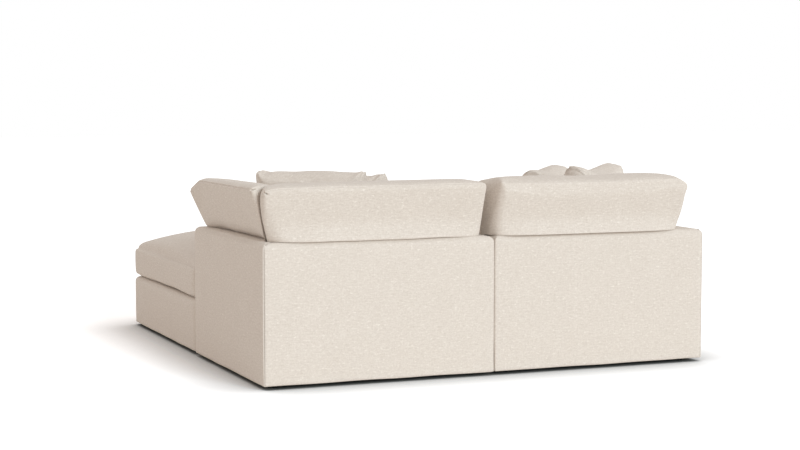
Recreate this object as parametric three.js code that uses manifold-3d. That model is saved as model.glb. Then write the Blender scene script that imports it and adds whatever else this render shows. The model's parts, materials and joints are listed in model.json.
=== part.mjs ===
import * as THREE from "three";
import { mergeVertices } from "three/addons/utils/BufferGeometryUtils.js";
import Module from "manifold-3d";

// Sectional sofa with chaise: two corner modules side by side, and an ottoman set against one of them.
// Millimetres, +Z up, seats facing -Y. While it is built, the corner modules meet at x = 0 and their
// backs lie on y = 0. The last lines bring the origin to the bottom centre of the whole sofa.

const wasm = await Module();
wasm.setup();

// Modules
const moduleWidth = 960;
const moduleDepth = 960;
const ottomanWidth = moduleWidth;
const ottomanLength = 1100;
const moduleGap = 5; // between two modules, where the joining hooks hang
const hemHeight = 15; // lower edge of the covers above the floor
const baseHeight = 222; // hem to seat deck
const wallHeight = 541; // hem to the top of the back and the arms
const wallThickness = 140;

// Fits
const fit = 0.3; // between pieces that touch
const cutOverrun = 40; // how far a cutter runs past what it cuts
const tightestBend = 1; // smallest radius of a folded corner

// Covers: padding and cloth together
const sidePadding = 12;
const topPadding = 30;
const deckPadding = 8;
const wallRoll = 28; // roll along the top edges of the walls
const baseRoll = 27; // roll along the top edges of the bases
const softCorner = 24; // upright edges of the ends that stay free
const sewnCorner = 7; // upright edge at the sewn outer corner
const rollSteps = 4;
const cornerSteps = 4;

// Timber
const boardThickness = 28;
const wallPostThickness = 34;
const fingerCount = 5; // fingers of the box joints at the corners of a seat frame
const cornerBlockSize = 92;
const cornerBlockHeight = 45;

// Seat platform
const dustClothThickness = 2;
const dustClothLift = 1.7; // its underside above the hem
const footHoleMargin = 2; // between a foot and the edge of its hole in the cloth
const deckPadThickness = 15;
const strapWidth = 72;
const strapThickness = 1.6;
const strapBond = 0.2; // how far two straps press into each other where they cross
const strapsAcross = 4;
const strapsAlong = 4;

// Feet
const footInset = 72; // foot axis from both faces of a module's corner
const footTopRadius = 27;
const footSoleRadius = 22;
const footSides = 16;
const footRounding = 3; // bevel at the sole and under the frame

// Joining hooks
const hookThickness = 2;
const hookWidth = 70;
const hookLength = 62;
const hookOverlap = 14;
const hookHeight = 110; // middle of the joint above the hem
const hookSetback = 210; // middle of a hook from the front or the side of the module

// Levels
const hemZ = hemHeight;
const deckZ = hemZ + baseHeight;
const wallTopZ = hemZ + wallHeight;
const dustClothZ = hemZ + dustClothLift;
const frameZ = dustClothZ + dustClothThickness + fit;
const deckPadZ = deckZ - deckPadding - fit - deckPadThickness;
const weaveLift = (strapThickness - strapBond) / 2;
const webbingHeight = strapThickness + 2 * weaveLift;
const railTopZ = deckPadZ - webbingHeight - 2 * fit;
const wallFrameTopZ = wallTopZ - topPadding - fit;

const timber = { color: 0xc8a678, roughness: 0.75, metalness: 0 };
const linen = { color: 0xe4dbd0, roughness: 0.95, metalness: 0 };
const felt = { color: 0xb9b3a9, roughness: 1, metalness: 0 };
const webbing = { color: 0x4a4742, roughness: 0.9, metalness: 0 };
const cambric = { color: 0x26251f, roughness: 0.95, metalness: 0 };
const footPlastic = { color: 0x1f1e1d, roughness: 0.55, metalness: 0 };
const hookSteel = { color: 0x8f9296, roughness: 0.4, metalness: 1 };

const sofa = new THREE.Group();

// Solids

function solidOf(geometry) {
  const bare = new THREE.BufferGeometry();
  bare.setAttribute("position", geometry.getAttribute("position"));
  bare.setIndex(geometry.index);
  const merged = mergeVertices(bare);
  return new wasm.Manifold(
    new wasm.Mesh({
      numProp: 3,
      vertProperties: merged.attributes.position.array,
      triVerts: new Uint32Array(merged.index.array),
    }),
  );
}

function geometryOf(solid) {
  const mesh = solid.getMesh();
  const geometry = new THREE.BufferGeometry();
  geometry.setAttribute("position", new THREE.BufferAttribute(mesh.vertProperties, 3));
  geometry.setIndex(new THREE.BufferAttribute(mesh.triVerts, 1));
  return geometry;
}

function addNode(name, solid, finish) {
  const geometry = geometryOf(solid);
  geometry.computeVertexNormals();
  const mesh = new THREE.Mesh(geometry, new THREE.MeshStandardMaterial(finish));
  mesh.name = name;
  sofa.add(mesh);
}

function blockBetween(low, high) {
  const box = new THREE.BoxGeometry(high[0] - low[0], high[1] - low[1], high[2] - low[2]);
  box.translate((low[0] + high[0]) / 2, (low[1] + high[1]) / 2, (low[2] + high[2]) / 2);
  return solidOf(box);
}

function shapeOf(points) {
  return new THREE.Shape(points.map(([u, v]) => new THREE.Vector2(u, v)));
}

function prismOf(shape, depth) {
  return new THREE.ExtrudeGeometry(shape, { depth, bevelEnabled: false });
}

// Closed skin through rings of equal count, each anticlockwise from above, the lowest first.
function loftOf(rings) {
  const count = rings[0].length;
  const positions = rings.flat(2);
  const index = [];
  for (let level = 0; level + 1 < rings.length; level += 1) {
    for (let i = 0; i < count; i += 1) {
      const next = (i + 1) % count;
      const low = level * count;
      const high = low + count;
      index.push(low + i, low + next, high + next, low + i, high + next, high + i);
    }
  }
  const top = (rings.length - 1) * count;
  for (let i = 1; i + 1 < count; i += 1) {
    index.push(0, i + 1, i);
    index.push(top, top + i, top + i + 1);
  }
  const geometry = new THREE.BufferGeometry();
  geometry.setAttribute("position", new THREE.Float32BufferAttribute(positions, 3));
  geometry.setIndex(index);
  return solidOf(geometry);
}

// Padded block with a roll along its top edges. Its corner radii run from the front left, anticlockwise.
function paddedBlock(low, high, radii, roll) {
  const levels = [{ z: low[2], inset: 0 }];
  for (let step = 0; step <= rollSteps; step += 1) {
    const turn = ((step / rollSteps) * Math.PI) / 2;
    levels.push({ z: high[2] - roll + roll * Math.sin(turn), inset: roll - roll * Math.cos(turn) });
  }
  return loftOf(levels.map(({ z, inset }) => roundedRing(low, high, radii, inset, z)));
}

function roundedRing(low, high, radii, inset, z) {
  const corners = [
    { x: low[0] + inset, y: low[1] + inset, inX: 1, inY: 1, start: Math.PI },
    { x: high[0] - inset, y: low[1] + inset, inX: -1, inY: 1, start: -Math.PI / 2 },
    { x: high[0] - inset, y: high[1] - inset, inX: -1, inY: -1, start: 0 },
    { x: low[0] + inset, y: high[1] - inset, inX: 1, inY: -1, start: Math.PI / 2 },
  ];
  return corners.flatMap(({ x, y, inX, inY, start }, i) => {
    const radius = Math.max(radii[i] - inset, tightestBend);
    const ring = [];
    for (let step = 0; step <= cornerSteps; step += 1) {
      const angle = start + ((step / cornerSteps) * Math.PI) / 2;
      ring.push([x + radius * (inX + Math.cos(angle)), y + radius * (inY + Math.sin(angle)), z]);
    }
    return ring;
  });
}

// Cushions

// Grid lines over a half size, from -1 to 1: two in each roll and an even spread between.
function gridShares(half, roll, flatSegments) {
  const rollShare = roll / half;
  const shares = [-1, -1 + rollShare / 2];
  for (let step = 0; step <= flatSegments; step += 1) {
    shares.push((1 - rollShare) * ((2 * step) / flatSegments - 1));
  }
  return [...shares, 1 - rollShare / 2, 1];
}

// Closed skin over the six sides of a unit cube, each point moved to its place by shapeAt.
function gridSkin(gridX, gridY, gridZ, shapeAt) {
  const grids = [gridX, gridY, gridZ];
  const positions = [];
  for (let axis = 0; axis < 3; axis += 1) {
    const across = (axis + 1) % 3;
    const along = (axis + 2) % 3;
    for (const side of [-1, 1]) {
      for (let i = 0; i + 1 < grids[across].length; i += 1) {
        for (let j = 0; j + 1 < grids[along].length; j += 1) {
          const corner = (di, dj) => {
            const point = [0, 0, 0];
            point[axis] = side;
            point[across] = grids[across][i + di];
            point[along] = grids[along][j + dj];
            return shapeAt(...point);
          };
          const quad = [corner(0, 0), corner(1, 0), corner(1, 1), corner(0, 1)];
          const order = side > 0 ? [0, 1, 2, 0, 2, 3] : [0, 2, 1, 0, 3, 2];
          order.forEach((k) => positions.push(...quad[k]));
        }
      }
    }
  }
  const geometry = new THREE.BufferGeometry();
  geometry.setAttribute("position", new THREE.Float32BufferAttribute(positions, 3));
  return geometry;
}

const crownFullness = 0.42; // exponent of a crown: the lower, the fuller towards the seams

function crownShare(t) {
  return Math.max(1 - t * t, 0) ** crownFullness;
}

// Boxed cushion about its own centre: rolled seams, faces and boxing that bulge, and sides drawn in
// between the corners. Its rear face can lean outwards, by lean for each unit of height.
function boxedCushion({ size, roll, bulge, drawIn, lean, flatSegments }) {
  const half = size.map((length) => length / 2);
  const core = half.map((length, axis) => length - roll[axis]);
  const grids = half.map((length, axis) => gridShares(length, roll[axis], flatSegments[axis]));
  return gridSkin(...grids, (...shares) => {
    const flat = shares.map((share, axis) => share * half[axis]);
    const held = flat.map((value, axis) => THREE.MathUtils.clamp(value, -core[axis], core[axis]));
    const pull = flat.map((value, axis) => (value - held[axis]) / roll[axis]);
    const reach = Math.hypot(...pull) || 1;
    const point = held.map((value, axis) => value + (roll[axis] * pull[axis]) / reach);
    const [a, b, c] = shares;
    point[0] += a * (bulge.x * crownShare(b) * crownShare(c) - drawIn * (1 - b * b) * Math.abs(a));
    point[1] += b * (bulge.y * crownShare(a) * crownShare(c) - drawIn * (1 - a * a) * Math.abs(b));
    point[2] += c * (c > 0 ? bulge.top : bulge.bottom) * crownShare(a) * crownShare(b);
    point[1] += lean * (point[2] + half[2]) * ((1 + b) / 2);
    return point;
  });
}

// Loose pillow about its own centre, standing in the XZ plane: two crowned faces that close on a sewn
// edge, with sides drawn in between its pointed corners.
function pillowForm({ width, height, thickness, edge, drawIn, segments }) {
  const grid = [];
  for (let step = 0; step <= segments; step += 1) {
    grid.push(-Math.cos((step / segments) * Math.PI));
  }
  return gridSkin(grid, [-1, 1], grid, (a, b, c) => {
    const fill = crownShare(a) * crownShare(c);
    return [
      a * (width / 2 - drawIn * (1 - c * c) * a * a),
      b * (edge / 2 + ((thickness - edge) / 2) * fill),
      c * (height / 2 - drawIn * (1 - a * a) * c * c),
    ];
  });
}

// Modules: side walls, bases, frames. Every corner module is built with its arm on +X, from moduleGap / 2.

const innerX = moduleGap / 2;
const outerX = innerX + moduleWidth;
const frontY = -moduleDepth;
const ottomanBackY = frontY - moduleGap;
const ottomanFrontY = ottomanBackY - ottomanLength;
const ottomanInnerX = outerX - ottomanWidth;
const seatFrame = {
  low: [innerX + sidePadding + fit, frontY + sidePadding + fit],
  high: [outerX - wallThickness + sidePadding, -wallThickness + sidePadding],
};
const ottomanFrame = {
  low: [ottomanInnerX + sidePadding + fit, ottomanFrontY + sidePadding + fit],
  high: [outerX - sidePadding - fit, ottomanBackY - sidePadding - fit],
};

function mirrored(solid) {
  const geometry = geometryOf(solid);
  geometry.scale(-1, 1, 1);
  const turned = Array.from(geometry.index.array);
  for (let i = 0; i < turned.length; i += 3) {
    [turned[i + 1], turned[i + 2]] = [turned[i + 2], turned[i + 1]];
  }
  geometry.setIndex(turned);
  return solidOf(geometry);
}

// Upright cutter along the mitre of the back and the arm. It removes what lies on the arm's side of the
// mitre, or with keepArm on the back's side.
function mitreCutter(reach, clearance, keepArm) {
  const near = [outerX + cutOverrun, cutOverrun];
  const far = [outerX - reach, -reach];
  const away = keepArm ? [far[0], near[1]] : [near[0], far[1]];
  const shift = keepArm ? clearance : -clearance;
  const cutter = prismOf(shapeOf([near, far, away]), wallTopZ * 2);
  cutter.translate(shift, 0, -cutOverrun);
  return solidOf(cutter);
}

function wallCover(low, high, radii, innerSheetCut, keepArm) {
  const cavity = blockBetween(
    [low[0] + sidePadding, low[1] + sidePadding, -cutOverrun],
    [high[0] - sidePadding, high[1] - sidePadding, wallTopZ - topPadding],
  );
  return paddedBlock(low, high, radii, wallRoll)
    .subtract(cavity)
    .subtract(innerSheetCut)
    .subtract(mitreCutter(wallThickness + cutOverrun, fit, keepArm));
}

function backCover() {
  const low = [innerX, -wallThickness, hemZ];
  const high = [outerX, 0, wallTopZ];
  const innerSheetCut = blockBetween(
    [innerX + sidePadding, -wallThickness - cutOverrun, -cutOverrun],
    [outerX + cutOverrun, -wallThickness / 2, deckZ],
  );
  return wallCover(low, high, [tightestBend, tightestBend, sewnCorner, sewnCorner], innerSheetCut, false);
}

function armCover() {
  const low = [outerX - wallThickness, frontY, hemZ];
  const high = [outerX, 0, wallTopZ];
  const innerSheetCut = blockBetween(
    [outerX - wallThickness - cutOverrun, frontY + sidePadding, -cutOverrun],
    [outerX - wallThickness / 2, cutOverrun, deckZ],
  );
  return wallCover(low, high, [sewnCorner, softCorner, sewnCorner, tightestBend], innerSheetCut, true);
}

// Base cover: deck cloth with a skirt on the open sides, hollow from below.
function baseCover(low, high, radii, openSides) {
  const cavity = blockBetween(
    [low[0] + sidePadding, low[1] + sidePadding, -cutOverrun],
    [
      openSides ? high[0] + cutOverrun : high[0] - sidePadding,
      openSides ? high[1] + cutOverrun : high[1] - sidePadding,
      deckZ - deckPadding,
    ],
  );
  return paddedBlock([...low, hemZ], [...high, deckZ], radii, baseRoll).subtract(cavity);
}

// Ladder frame of a wall from x = 0 to length, its outer face on y = 0: three posts between three rails.
function wallFrame(length) {
  const depth = wallThickness - 2 * sidePadding - 2 * fit;
  const rails = [frameZ, railTopZ - boardThickness, wallFrameTopZ - boardThickness];
  const bay = (length - 3 * wallPostThickness) / 2;
  let frame = blockBetween([0, -depth, frameZ], [length, 0, wallFrameTopZ]);
  for (let row = 0; row < 2; row += 1) {
    for (let column = 0; column < 2; column += 1) {
      const left = wallPostThickness + column * (bay + wallPostThickness);
      frame = frame.subtract(
        blockBetween(
          [left, -depth - cutOverrun, rails[row] + boardThickness],
          [left + bay, cutOverrun, rails[row + 1]],
        ),
      );
    }
  }
  return geometryOf(frame);
}

function backWallFrame() {
  const frame = wallFrame(moduleWidth - 2 * (sidePadding + fit));
  frame.translate(innerX + sidePadding + fit, -sidePadding - fit, 0);
  return solidOf(frame);
}

function armWallFrame() {
  const start = wallThickness - sidePadding;
  const frame = wallFrame(moduleDepth - start - sidePadding - fit);
  frame.rotateZ(-Math.PI / 2);
  frame.translate(outerX - sidePadding - fit, -start, 0);
  return solidOf(frame);
}

// The four boards of a seat frame, with box joints at the corners. The front and rear boards take the
// even fingers, the side boards the odd ones. The side boards carry the blocks for the feet.
function seatBoards({ low, high }) {
  const thick = boardThickness;
  const finger = (railTopZ - frameZ) / fingerCount;
  const fingersAt = (cornerLow, cornerHigh, parity) => {
    const cutters = [];
    for (let level = parity; level < fingerCount; level += 2) {
      cutters.push(
        blockBetween(
          [...cornerLow, frameZ + level * finger - (level ? fit / 2 : cutOverrun)],
          [...cornerHigh, frameZ + (level + 1) * finger + (level + 1 < fingerCount ? fit / 2 : cutOverrun)],
        ),
      );
    }
    return cutters;
  };
  const lengthwise = (y0, y1) => {
    let board = blockBetween([low[0], y0, frameZ], [high[0], y1, railTopZ]);
    for (const [x0, x1] of [
      [low[0] - cutOverrun, low[0] + thick + fit],
      [high[0] - thick - fit, high[0] + cutOverrun],
    ]) {
      for (const cutter of fingersAt([x0, y0 - cutOverrun], [x1, y1 + cutOverrun], 1)) {
        board = board.subtract(cutter);
      }
    }
    return board;
  };
  const sideways = (x0, x1, blockX0, blockX1) => {
    let board = blockBetween([x0, low[1], frameZ], [x1, high[1], railTopZ]);
    for (const [y0, y1] of [
      [low[1] - cutOverrun, low[1] + thick + fit],
      [high[1] - thick - fit, high[1] + cutOverrun],
    ]) {
      for (const cutter of fingersAt([x0 - cutOverrun, y0], [x1 + cutOverrun, y1], 0)) {
        board = board.subtract(cutter);
      }
    }
    const blockTop = frameZ + cornerBlockHeight;
    for (const [y0, y1] of [
      [low[1] + thick + fit, low[1] + cornerBlockSize],
      [high[1] - cornerBlockSize, high[1] - thick - fit],
    ]) {
      board = board.add(blockBetween([blockX0, y0, frameZ], [blockX1, y1, blockTop]));
    }
    return board;
  };
  return {
    front: lengthwise(low[1], low[1] + thick),
    rear: lengthwise(high[1] - thick, high[1]),
    inner: sideways(low[0], low[0] + thick, low[0], low[0] + cornerBlockSize),
    outer: sideways(high[0] - thick, high[0], high[0] - cornerBlockSize, high[0]),
  };
}

// One strap of the webbing in its side view, from 0 to length: it passes over and under the straps
// whose middles stand at crossings, and lies on a rail at both ends.
function strapOutline(length, crossings, startsOver) {
  const course = [[0, -weaveLift], [boardThickness, -weaveLift]];
  crossings.forEach((place, i) => {
    const lift = (i % 2 === 0) === startsOver ? weaveLift : -weaveLift;
    course.push([place - strapWidth / 2 - strapThickness, lift]);
    course.push([place + strapWidth / 2 + strapThickness, lift]);
  });
  course.push([length - boardThickness, -weaveLift], [length, -weaveLift]);
  const upper = course.map(([u, v]) => [u, v + strapThickness / 2]);
  const lower = course.map(([u, v]) => [u, v - strapThickness / 2]);
  return shapeOf([...lower, ...upper.reverse()]);
}

function spreadOver(length, count) {
  const places = [];
  for (let i = 0; i < count; i += 1) {
    places.push((length * (i + 1)) / (count + 1));
  }
  return places;
}

function wovenWebbing({ low, high }) {
  const lengthX = high[0] - low[0];
  const lengthY = high[1] - low[1];
  const placesX = spreadOver(lengthX, strapsAlong);
  const placesY = spreadOver(lengthY, strapsAcross);
  const level = railTopZ + fit + weaveLift + strapThickness / 2;
  const straps = [];
  placesY.forEach((place, i) => {
    const strap = prismOf(strapOutline(lengthX, placesX, i % 2 === 0), strapWidth);
    strap.rotateX(Math.PI / 2);
    strap.translate(low[0], low[1] + place + strapWidth / 2, level);
    straps.push(solidOf(strap));
  });
  placesX.forEach((place, i) => {
    const strap = prismOf(strapOutline(lengthY, placesY, i % 2 === 1), strapWidth);
    strap.rotateX(Math.PI / 2);
    strap.rotateZ(Math.PI / 2);
    strap.translate(low[0] + place - strapWidth / 2, low[1], level);
    straps.push(solidOf(strap));
  });
  return straps.reduce((joined, strap) => joined.add(strap));
}

function deckPad({ low, high }) {
  return blockBetween([...low, deckPadZ], [...high, deckPadZ + deckPadThickness]);
}

function footPlaces(low, high) {
  return {
    front_inner: [low[0] + footInset, low[1] + footInset],
    front_outer: [high[0] - footInset, low[1] + footInset],
    rear_inner: [low[0] + footInset, high[1] - footInset],
    rear_outer: [high[0] - footInset, high[1] - footInset],
  };
}

function circleRing(x, y, radius, z) {
  const ring = [];
  for (let i = 0; i < footSides; i += 1) {
    const angle = (2 * Math.PI * i) / footSides;
    ring.push([x + radius * Math.cos(angle), y + radius * Math.sin(angle), z]);
  }
  return ring;
}

function foot(x, y) {
  const top = frameZ - fit;
  return loftOf([
    circleRing(x, y, footSoleRadius - footRounding, 0),
    circleRing(x, y, footSoleRadius, footRounding),
    circleRing(x, y, footTopRadius, top - footRounding),
    circleRing(x, y, footTopRadius, top),
  ]);
}

function dustCloth(low, high, feet) {
  let cloth = blockBetween([...low, dustClothZ], [...high, dustClothZ + dustClothThickness]);
  for (const [x, y] of Object.values(feet)) {
    const radius = footTopRadius + footHoleMargin;
    const below = circleRing(x, y, radius, dustClothZ - cutOverrun);
    const above = circleRing(x, y, radius, dustClothZ + cutOverrun);
    cloth = cloth.subtract(loftOf([below, above]));
  }
  return cloth;
}

function seatPieces(prefix, frame, low, high, turn) {
  const boards = seatBoards(frame);
  for (const [place, board] of Object.entries(boards)) {
    addNode(`${prefix}_${place}_rail`, turn(board), timber);
  }
  addNode(`${prefix}_webbing`, turn(wovenWebbing(frame)), webbing);
  addNode(`${prefix}_deck_pad`, turn(deckPad(frame)), felt);
  const feet = footPlaces(low, high);
  for (const [place, [x, y]] of Object.entries(feet)) {
    addNode(`${prefix}_foot_${place}`, turn(foot(x, y)), footPlastic);
  }
  const clothInset = sidePadding + fit;
  const clothLow = low.map((value) => value + clothInset);
  const clothHigh = high.map((value) => value - clothInset);
  addNode(`${prefix}_dust_cloth`, turn(dustCloth(clothLow, clothHigh, feet)), cambric);
}

function cornerModule(prefix, turn) {
  addNode(`${prefix}_back_cover`, turn(backCover()), linen);
  addNode(`${prefix}_arm_cover`, turn(armCover()), linen);
  const baseHigh = [outerX - wallThickness - fit, -wallThickness - fit];
  const radii = [sewnCorner, sewnCorner, tightestBend, tightestBend];
  addNode(`${prefix}_base_cover`, turn(baseCover([innerX, frontY], baseHigh, radii, true)), linen);
  addNode(`${prefix}_back_frame`, turn(backWallFrame()), timber);
  addNode(`${prefix}_arm_frame`, turn(armWallFrame()), timber);
  seatPieces(prefix, seatFrame, [innerX, frontY], [outerX, 0], turn);
}

const asBuilt = (solid) => solid;
cornerModule("chaise_seat", asBuilt);
cornerModule("end_seat", mirrored);

const ottomanLow = [ottomanInnerX, ottomanFrontY];
const ottomanHigh = [outerX, ottomanBackY];
const softCorners = [softCorner, softCorner, softCorner, softCorner];
addNode("ottoman_base_cover", baseCover(ottomanLow, ottomanHigh, softCorners, false), linen);
seatPieces("ottoman", ottomanFrame, ottomanLow, ottomanHigh, asBuilt);

// Joining hooks: two joggled plates that hang into each other across the gap between two modules.
// In their side view u runs from the first module's face to the second's, and v is the height.
function hookOutline(onFirst) {
  const near = fit;
  const far = moduleGap - fit;
  const nearInside = near + hookThickness;
  const farInside = far - hookThickness;
  const middle = hemZ + hookHeight;
  const seat = middle + hookOverlap;
  if (onFirst) {
    return shapeOf([
      [near, seat],
      [farInside, seat],
      [farInside, middle],
      [far, middle],
      [far, seat + hookThickness],
      [nearInside, seat + hookThickness],
      [nearInside, middle + hookLength],
      [near, middle + hookLength],
    ]);
  }
  const pocket = middle - fit;
  return shapeOf([
    [far, middle - hookLength],
    [far, pocket],
    [nearInside, pocket],
    [nearInside, seat - fit],
    [near, seat - fit],
    [near, pocket - hookThickness],
    [farInside, pocket - hookThickness],
    [farInside, middle - hookLength],
  ]);
}

function hookPlate(onFirst) {
  const plate = prismOf(hookOutline(onFirst), hookWidth);
  plate.rotateX(Math.PI / 2);
  plate.translate(0, hookWidth / 2, 0);
  return plate;
}

function hookPair(nameOnFirst, nameOnSecond, turn, x, y) {
  for (const [name, onFirst] of [[nameOnFirst, true], [nameOnSecond, false]]) {
    const plate = hookPlate(onFirst);
    plate.rotateZ(turn);
    plate.translate(x, y, 0);
    addNode(name, solidOf(plate), hookSteel);
  }
}

hookPair("chaise_seat_side_hook", "end_seat_side_hook", Math.PI, innerX, frontY + hookSetback);
hookPair("chaise_seat_front_hook", "ottoman_hook", -Math.PI / 2, innerX + hookSetback, frontY);

// Seat cushions: boxed, with a high crown.

const seatCushion = {
  inset: 6, // sewn edge inside the face of its base
  boxing: 148, // height of the sides up to the sewn edge
  crown: 104,
  cornerRoll: 45,
  seamRoll: 30,
  fill: 12, // bulge of the boxing
  drawIn: 8,
  flatSegments: [6, 6, 1],
};

function seatCushionOn(low, high, lift) {
  const { inset, boxing, crown, cornerRoll, seamRoll, fill, drawIn, flatSegments } = seatCushion;
  const cushion = boxedCushion({
    size: [high[0] - low[0] - 2 * inset, high[1] - low[1] - 2 * inset, boxing],
    roll: [cornerRoll, cornerRoll, seamRoll],
    bulge: { x: fill, y: fill, top: crown, bottom: 0 },
    drawIn,
    lean: 0,
    flatSegments,
  });
  cushion.translate((low[0] + high[0]) / 2, (low[1] + high[1]) / 2, deckZ + fit + boxing / 2 + lift);
  return solidOf(cushion);
}

const wellLow = [innerX, frontY];
const wellHigh = [outerX - wallThickness, -wallThickness];
addNode("chaise_seat_cushion", seatCushionOn(wellLow, wellHigh, 0), linen);
addNode("end_seat_cushion", mirrored(seatCushionOn(wellLow, wellHigh, 0)), linen);
addNode("ottoman_cushion", seatCushionOn(ottomanLow, ottomanHigh, 0), linen);

// Loose cushions: they stand on the seat, lap over the top of the wall behind them and lean outwards.

const looseShortfall = 68; // how much shorter than its module a loose cushion is
const looseCushion = {
  length: moduleWidth - looseShortfall,
  thickness: 131, // at the bottom
  bottomZ: 415,
  endFill: 10,
  faceCrown: 20,
  endRoll: 30,
  faceRoll: 45,
  topRoll: 48,
  drawIn: 8,
  lean: 0.38, // of the rear face
  middle: 160.5, // its middle at the bottom, inside the outer face of its wall
  flatSegments: [6, 2, 4],
};

// For each loose cushion: its end inside the side of its module, its sewn upper edge, and its crown.
const chaiseBackFit = { setback: 22, topZ: 771, topCrown: 9 };
const chaiseSideFit = { setback: 44, topZ: 755, topCrown: 3 };
const endBackFit = { setback: 1, topZ: 781, topCrown: 4 };

function looseCushionForm({ topZ, topCrown }) {
  const { length, thickness, bottomZ, endFill, faceCrown, middle } = looseCushion;
  const cushion = boxedCushion({
    size: [length, thickness, topZ - bottomZ],
    roll: [looseCushion.endRoll, looseCushion.faceRoll, looseCushion.topRoll],
    bulge: { x: endFill, y: faceCrown, top: topCrown, bottom: 0 },
    drawIn: looseCushion.drawIn,
    lean: looseCushion.lean,
    flatSegments: looseCushion.flatSegments,
  });
  cushion.translate(0, -middle, (bottomZ + topZ) / 2);
  return cushion;
}

// What the walls and the seat cushion of the chaise module leave free for a loose cushion or a pillow.
const rest = 2 * fit;
const backBlock = blockBetween(
  [innerX - moduleWidth, -wallThickness - rest, -cutOverrun],
  [outerX + moduleWidth, moduleDepth, wallTopZ + rest],
);
const armBlock = blockBetween(
  [outerX - wallThickness - rest, frontY - cutOverrun, -cutOverrun],
  [outerX + moduleWidth, moduleDepth, wallTopZ + rest],
);
const seatBlock = seatCushionOn(wellLow, wellHigh, rest);

function settled(solid) {
  return solid.subtract(backBlock).subtract(armBlock).subtract(seatBlock);
}

const halfLoose = looseCushion.length / 2;
const mitreReach = wallThickness + moduleWidth / 2;
const chaiseBack = looseCushionForm(chaiseBackFit);
chaiseBack.translate(outerX - chaiseBackFit.setback - halfLoose, 0, 0);
const chaiseBackSolid = settled(solidOf(chaiseBack)).subtract(mitreCutter(mitreReach, rest, false));
addNode("chaise_back_cushion", chaiseBackSolid, linen);

const chaiseSide = looseCushionForm(chaiseSideFit);
chaiseSide.rotateZ(-Math.PI / 2);
chaiseSide.translate(outerX, -chaiseSideFit.setback - halfLoose, 0);
const chaiseSideSolid = settled(solidOf(chaiseSide)).subtract(mitreCutter(mitreReach, rest, true));
addNode("chaise_side_cushion", chaiseSideSolid, linen);

const endBack = looseCushionForm(endBackFit);
endBack.translate(innerX + endBackFit.setback + halfLoose, 0, 0);
addNode("end_back_cushion", mirrored(settled(solidOf(endBack))), linen);

// Pillows: two in each outer corner, set across it one before the other. The middle of the upper edge is
// given from the arm's outer face and from the back, and turn is the angle of the width from the X axis.

const pillowEdge = 14;
const pillowDrawIn = 12;
const pillowSegments = 10;
const pillowLean = THREE.MathUtils.degToRad(12);
const chaiseCorner = { width: 500, height: 345, thickness: 120, fromArm: 411, fromBack: 661, topZ: 797 };
const chaiseFront = { width: 400, height: 340, thickness: 110, fromArm: 591, fromBack: 705, topZ: 792 };
const endCorner = { width: 380, height: 370, thickness: 120, fromArm: 327, fromBack: 372, topZ: 822 };
const endFront = { width: 400, height: 340, thickness: 110, fromArm: 421, fromBack: 640, topZ: 792 };

function placedPillow({ width, height, thickness, fromArm, fromBack, topZ }, turn) {
  const form = pillowForm({
    width,
    height,
    thickness,
    edge: pillowEdge,
    drawIn: pillowDrawIn,
    segments: pillowSegments,
  });
  form.translate(0, 0, -height / 2);
  form.rotateX(-pillowLean);
  form.rotateZ(THREE.MathUtils.degToRad(turn));
  form.translate(outerX - fromArm, -fromBack, topZ);
  return settled(solidOf(form));
}

addNode("chaise_corner_pillow", placedPillow(chaiseCorner, -53), linen);
addNode("chaise_front_pillow", placedPillow(chaiseFront, -53), linen);
addNode("end_corner_pillow", mirrored(placedPillow(endCorner, -20)), linen);
addNode("end_front_pillow", mirrored(placedPillow(endFront, -30)), linen);

const whole = new THREE.Box3().setFromObject(sofa);
const middle = whole.getCenter(new THREE.Vector3());
sofa.position.set(-middle.x, -middle.y, -whole.min.z);

export default sofa;
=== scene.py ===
import json
import math

import bmesh
import bpy
import numpy as np
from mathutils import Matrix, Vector, geometry, noise


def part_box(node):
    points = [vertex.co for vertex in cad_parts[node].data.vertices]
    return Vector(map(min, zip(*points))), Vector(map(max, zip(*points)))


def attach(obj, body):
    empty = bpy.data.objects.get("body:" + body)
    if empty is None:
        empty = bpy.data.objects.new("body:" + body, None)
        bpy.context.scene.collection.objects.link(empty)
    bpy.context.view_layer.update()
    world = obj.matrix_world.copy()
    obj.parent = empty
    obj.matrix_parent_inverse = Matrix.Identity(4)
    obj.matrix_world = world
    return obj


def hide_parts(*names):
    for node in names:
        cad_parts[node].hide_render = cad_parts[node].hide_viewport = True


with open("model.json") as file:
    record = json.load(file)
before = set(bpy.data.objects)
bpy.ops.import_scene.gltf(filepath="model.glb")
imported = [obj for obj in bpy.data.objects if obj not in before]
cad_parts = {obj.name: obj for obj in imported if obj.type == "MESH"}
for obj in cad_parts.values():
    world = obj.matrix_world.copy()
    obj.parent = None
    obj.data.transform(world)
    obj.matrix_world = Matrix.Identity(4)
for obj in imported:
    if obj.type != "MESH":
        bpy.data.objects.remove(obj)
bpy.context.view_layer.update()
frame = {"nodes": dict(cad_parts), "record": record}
scene = bpy.context.scene
print("frame loaded:", len(frame["nodes"]), "nodes")

# Where the modules stand, from their covers. The modules meet at seamX and their backs lie on backY.
backLow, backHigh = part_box("chaise_seat_back_cover")
seamX = (backLow.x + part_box("end_seat_back_cover")[1].x) / 2
backY = backHigh.y
outerX = backHigh.x - seamX
innerX = backLow.x - seamX
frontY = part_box("chaise_seat_arm_cover")[0].y - backY
wallThickness = backHigh.y - backLow.y
wallTop = backHigh.z
hemHeight = backLow.z
wellLow = np.array([innerX, frontY])  # between the walls of the chaise module
wellHigh = np.array([outerX - wallThickness, -wallThickness])
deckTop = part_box("chaise_seat_base_cover")[1].z
joint = np.array([seamX, backY, 0])  # where the modules meet at the back, on the floor
fit = 0.0003  # between pieces that touch
tiny = 1e-9  # a length under this counts as nothing


# The box of a CAD node, from the modules' joint
def boxAt(node):
    return [np.array(corner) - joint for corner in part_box(node)]


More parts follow.
